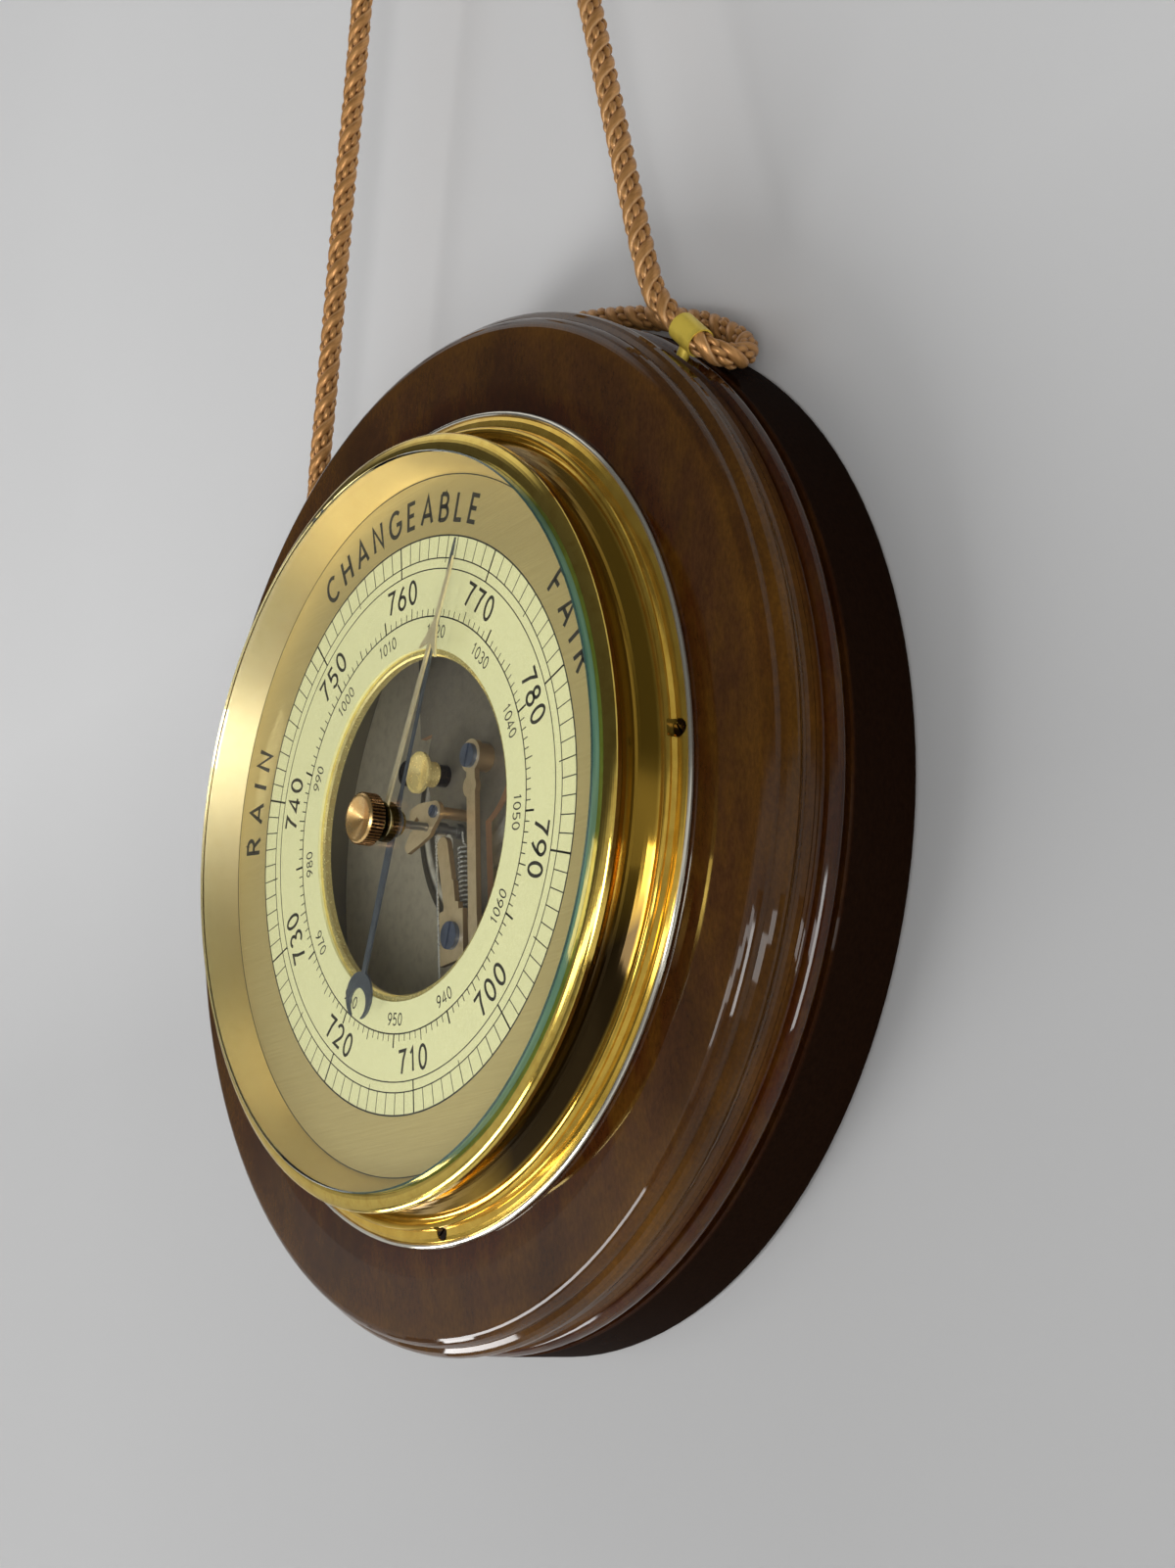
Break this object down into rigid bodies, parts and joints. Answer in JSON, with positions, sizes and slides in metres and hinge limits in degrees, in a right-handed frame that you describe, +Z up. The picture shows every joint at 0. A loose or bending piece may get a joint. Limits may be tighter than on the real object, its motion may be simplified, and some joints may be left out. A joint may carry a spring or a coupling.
{
  "type": "wall barometer",
  "caption": "Round wall barometer with a turned wooden plate, a brass case, an open dial that shows its movement, a set hand with a knob, and a rope over a hook.",
  "frame": {"origin": "centre of the wood's flat back face, on the wall", "axes": "+Z up towards the scale's top mark, +Y into the wall, the dial faces -Y"},
  "size_m": [0.1804, 0.0446, 0.4017],
  "materials": {
    "wood": "dark stained, high gloss lacquer",
    "brass": "polished",
    "brushed_brass": "brushed",
    "movement_brass": "satin, dull",
    "dark_brass": "dark bronze brown",
    "knob_brass": "turned, warm lacquer",
    "eye_brass": "satin",
    "capsule_metal": "satin",
    "steel": "satin",
    "hand_steel": "blued grey, polished",
    "dark_steel": "dark",
    "blued_steel": "blued",
    "dial_paint": "matt cream",
    "glass": "clear, green at its edge",
    "rope": "satin cord, twisted"
  },
  "bodies": {
    "case": {"wood_plate": "wood", "case_shell": "brass", "flange_screws": "dark_steel", "case_back": "movement_brass", "bezel_ring": "brass", "glass": "glass", "reflector": "brushed_brass", "dial_plate": "dial_paint", "dial_rim": "brass", "base_plate": "movement_brass", "base_screws": "dark_steel", "capsule_rear": "capsule_metal", "capsule_front": "capsule_metal", "lever_bracket": "movement_brass", "lever_pin": "steel", "shaft_bearings": "movement_brass", "upper_posts": "movement_brass", "upper_plate": "movement_brass", "post_screws": "blued_steel", "adjusting_screw": "dark_steel", "claw_post": "movement_brass", "claw_bridge": "movement_brass", "claw_screw": "blued_steel", "long_arm": "movement_brass", "short_arm": "movement_brass", "arm_spacers": "movement_brass", "blued_screws": "blued_steel", "pull_wire": "steel", "return_spring": "steel", "glass_bush": "dark_brass", "rope_eyes": "eye_brass", "hanging_rope": "rope", "wall_hook": "brass"},
    "pointer": {"arbor": "steel", "hand_collet": "brass", "pressure_hand": "hand_steel"},
    "marker": {"set_hand": "brass", "marker_nut": "dark_brass", "knob": "knob_brass"},
    "lever": {"main_lever": "movement_brass"},
    "link": {"link_rod": "steel"},
    "shaft": {"rocking_shaft": "steel"},
    "stem": {"capsule_stem": "steel"},
    "setter": {"setting_screw": "steel"},
    "tuner": {"adjusting_nut": "brass"}
  },
  "joints": [
    {"name": "hand_turn", "type": "hinge", "parent": "case", "child": "pointer", "pos_m": [0, -0.03, 0], "axis": [0, 1, 0], "range_deg": [-241.2, 82.8], "deforming": ["return_spring"]},
    {"name": "marker_turn", "type": "hinge", "parent": "case", "child": "marker", "pos_m": [0, -0.04, 0], "axis": [0, 1, 0], "continuous": true},
    {"name": "lever_tilt", "type": "hinge", "parent": "case", "child": "lever", "pos_m": [-0.0022, -0.0174, 0.042], "axis": [1, 0, 0], "range_deg": [-2.15, 0.74]},
    {"name": "link_swing", "type": "hinge", "parent": "lever", "child": "link", "pos_m": [-0.0022, -0.0174, -0.0242], "axis": [1, 0, 0], "range_deg": [-0.74, 2.15]},
    {"name": "shaft_rock", "type": "hinge", "parent": "case", "child": "shaft", "pos_m": [0, -0.0126, -0.03], "axis": [1, 0, 0], "range_deg": [-8.41, 24.47], "deforming": ["pull_wire"]},
    {"name": "stem_slide", "type": "slide", "parent": "case", "child": "stem", "axis": [0, 1, 0], "range_m": [-0.00131, 0.00045], "deforming": ["capsule_front"]},
    {"name": "setter_turn", "type": "hinge", "parent": "case", "child": "setter", "pos_m": [-0.0022, -0.008, 0.007], "axis": [0, 1, 0], "continuous": true},
    {"name": "tuner_turn", "type": "hinge", "parent": "case", "child": "tuner", "pos_m": [-0.0053, -0.026, 0.0113], "axis": [0, 1, 0], "continuous": true}
  ],
  "couplings": [
    {"joint": "lever_tilt", "follows": "hand_turn", "ratio": 0.0088839},
    {"joint": "link_swing", "follows": "hand_turn", "ratio": -0.0088839},
    {"joint": "shaft_rock", "follows": "hand_turn", "ratio": -0.1014},
    {"joint": "stem_slide", "follows": "hand_turn", "m_per_rad": 0.00031093}
  ]
}
